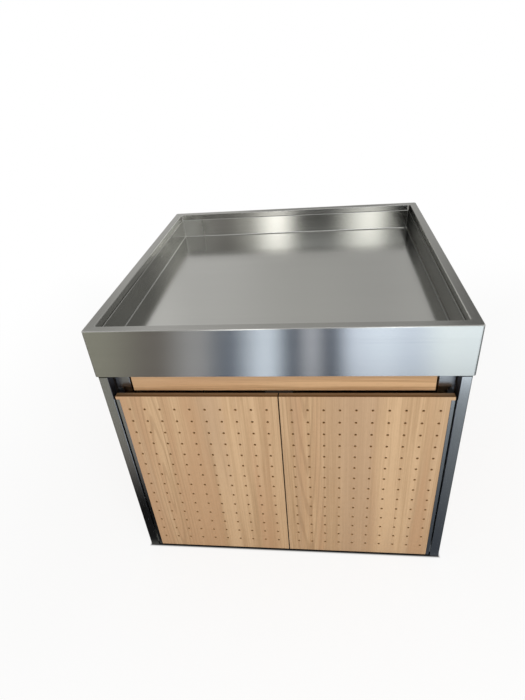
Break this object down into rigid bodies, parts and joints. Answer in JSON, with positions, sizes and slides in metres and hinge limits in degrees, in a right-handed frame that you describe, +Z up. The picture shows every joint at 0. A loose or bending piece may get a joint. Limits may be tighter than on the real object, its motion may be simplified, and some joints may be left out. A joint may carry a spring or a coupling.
{
  "type": "produce display bin",
  "caption": "Square stainless produce tray on a tube frame, with a cupboard below it closed by perforated wood doors that swing open on hidden pivots.",
  "frame": {"origin": "on the floor, under the middle of the tray", "axes": "+Z up; the doors face -Y; +X to the right of a person facing the doors"},
  "size_m": [0.9, 0.9, 0.8],
  "materials": {
    "stainless_tray": "brushed stainless sheet, grain along each wall",
    "stainless_frame": "brushed stainless tube and flat bar, grain along the length",
    "wood_board": "light tan wood-grain board, satin",
    "black_plastic": "matt moulded plastic",
    "nylon": "natural nylon",
    "plated_steel": "bright zinc plate",
    "magnet": "bare ferrite, matt dark grey"
  },
  "bodies": {
    "cabinet": {"tray_shell": "stainless_tray", "tray_pan": "stainless_tray", "leg_front_left": "stainless_frame", "leg_front_right": "stainless_frame", "leg_rear_left": "stainless_frame", "leg_rear_right": "stainless_frame", "top_rail_front": "stainless_frame", "top_rail_rear": "stainless_frame", "top_rail_left": "stainless_frame", "top_rail_right": "stainless_frame", "bottom_rail_front": "stainless_frame", "bottom_rail_rear": "stainless_frame", "bottom_rail_left": "stainless_frame", "bottom_rail_right": "stainless_frame", "pan_bearer_left": "stainless_frame", "pan_bearer_right": "stainless_frame", "base_bearer_left": "stainless_frame", "base_bearer_right": "stainless_frame", "hinge_post_left": "stainless_frame", "hinge_post_right": "stainless_frame", "header_tab_left": "stainless_frame", "header_tab_right": "stainless_frame", "top_strip_left": "stainless_frame", "top_strip_right": "stainless_frame", "top_strip_rear": "stainless_frame", "bottom_strip_left": "stainless_frame", "bottom_strip_right": "stainless_frame", "bottom_strip_rear": "stainless_frame", "upper_pivot_arm_left": "stainless_frame", "upper_pivot_arm_right": "stainless_frame", "lower_pivot_tab_left": "stainless_frame", "lower_pivot_tab_right": "stainless_frame", "header_panel": "wood_board", "base_board": "wood_board", "rear_panel": "wood_board", "side_panel_left": "wood_board", "side_panel_right": "wood_board", "foot_front_left": "black_plastic", "foot_front_right": "black_plastic", "foot_rear_left": "black_plastic", "foot_rear_right": "black_plastic", "catch_body": "black_plastic", "thrust_washer_left": "nylon", "thrust_washer_right": "nylon", "upper_pivot_pin_left": "plated_steel", "upper_pivot_pin_right": "plated_steel", "lower_pivot_pin_left": "plated_steel", "lower_pivot_pin_right": "plated_steel", "catch_magnet_left": "magnet", "catch_magnet_right": "magnet"},
    "left_door": {"door_left": "wood_board", "door_edge_tube_left": "stainless_frame", "upper_bush_left": "nylon", "lower_bush_left": "nylon", "strike_plate_left": "plated_steel"},
    "right_door": {"door_right": "wood_board", "door_edge_tube_right": "stainless_frame", "upper_bush_right": "nylon", "lower_bush_right": "nylon", "strike_plate_right": "plated_steel"}
  },
  "joints": [
    {"name": "left_door_hinge", "type": "hinge", "parent": "cabinet", "child": "left_door", "pos_m": [-0.4115, -0.439, 0.3], "axis": [0, 0, -1], "range_deg": [0, 100]},
    {"name": "right_door_hinge", "type": "hinge", "parent": "cabinet", "child": "right_door", "pos_m": [0.4115, -0.439, 0.3], "axis": [0, 0, 1], "range_deg": [0, 100]}
  ]
}
